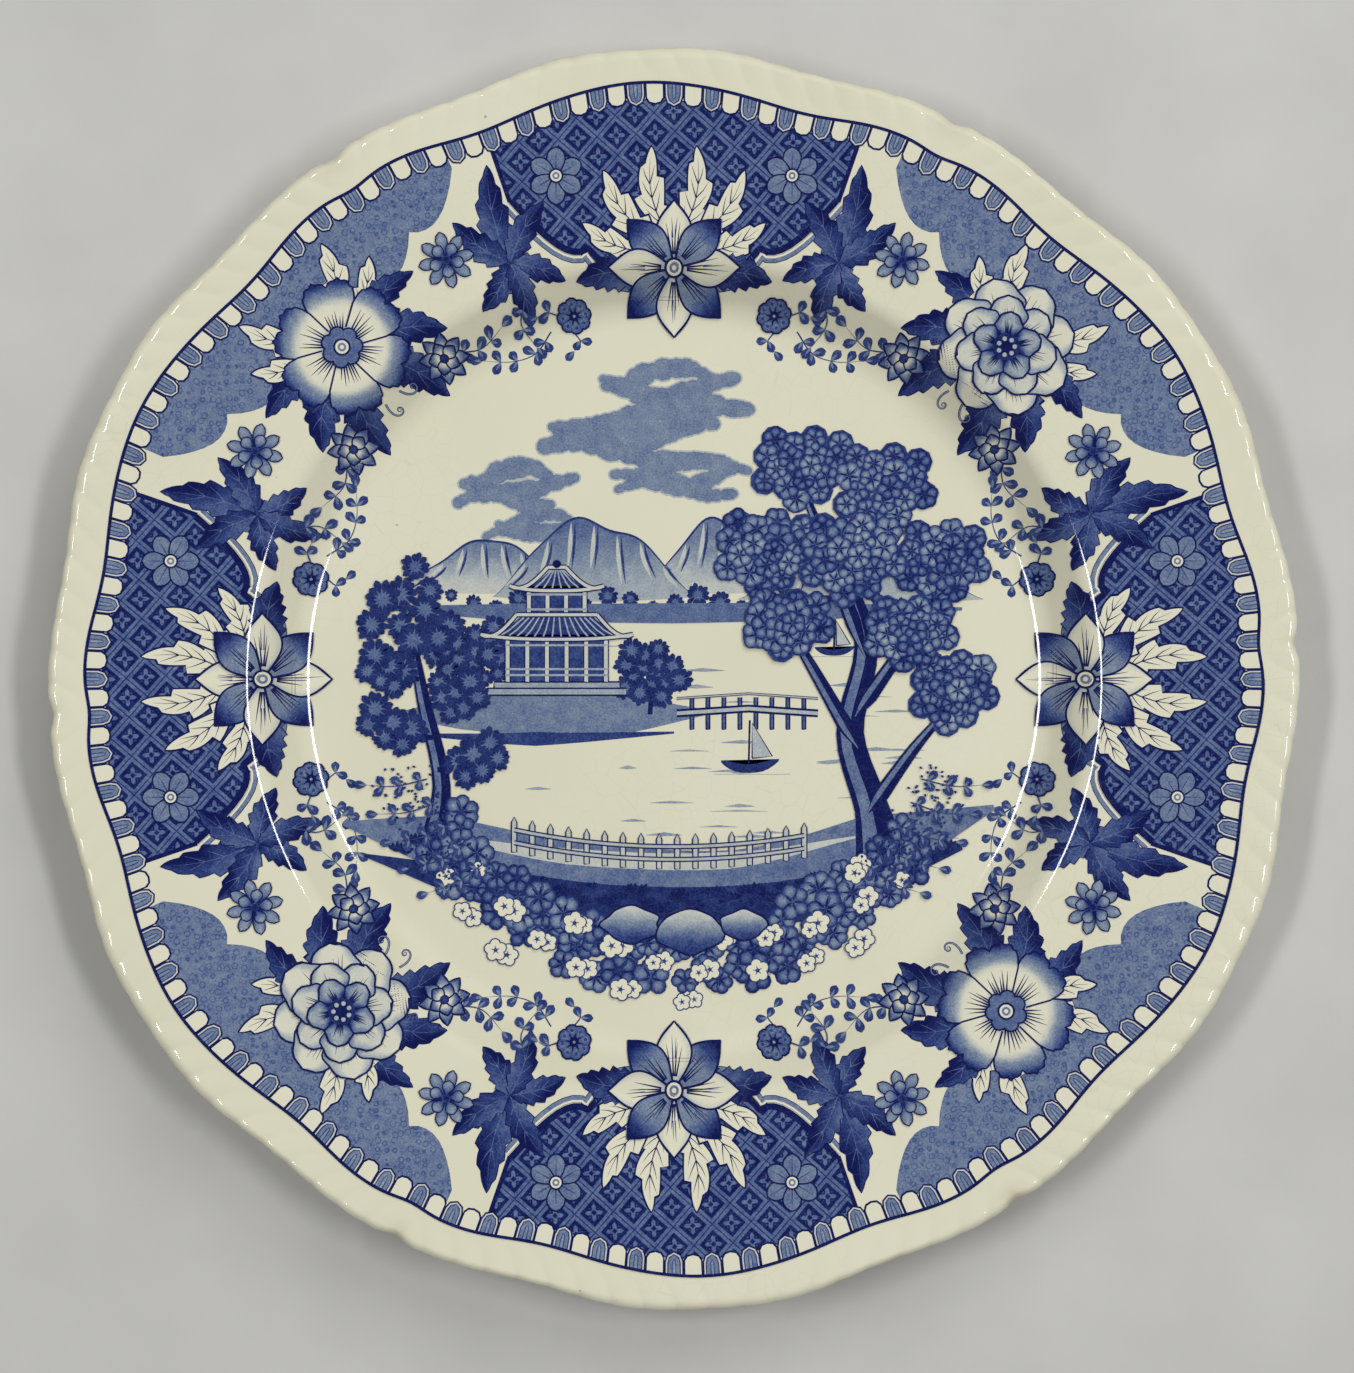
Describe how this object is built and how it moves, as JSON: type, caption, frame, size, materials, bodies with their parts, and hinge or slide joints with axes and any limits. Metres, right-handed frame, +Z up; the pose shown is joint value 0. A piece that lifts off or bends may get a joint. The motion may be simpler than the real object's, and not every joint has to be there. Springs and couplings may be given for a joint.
{
  "type": "dinner plate",
  "caption": "Round china dinner plate with a lobed, rope-moulded edge, a flat well and a bare foot ring, printed in blue under a clear glaze.",
  "frame": {"origin": "on the table under the middle of the plate, at the level of the foot ring's bare lower face", "axes": "+Z up out of the plate's face, square to the table; +Y towards the top of the printed scene, so that the scene reads upright from -Y; +X to its right"},
  "size_m": [0.254, 0.2562, 0.0209],
  "materials": {
    "clay": "dry fired cream clay, bare only on the foot ring",
    "glaze": "clear cream lead glaze, glossy, finely crazed",
    "border_blue": "cobalt blue colour printed on the clay under the glaze",
    "centre_blue": "cobalt blue colour printed on the clay under the glaze"
  },
  "bodies": {
    "root": {"biscuit_body": "clay", "face_glaze": "glaze", "foot_glaze": "glaze", "border_print": "border_blue", "centre_print": "centre_blue"}
  },
  "joints": []
}
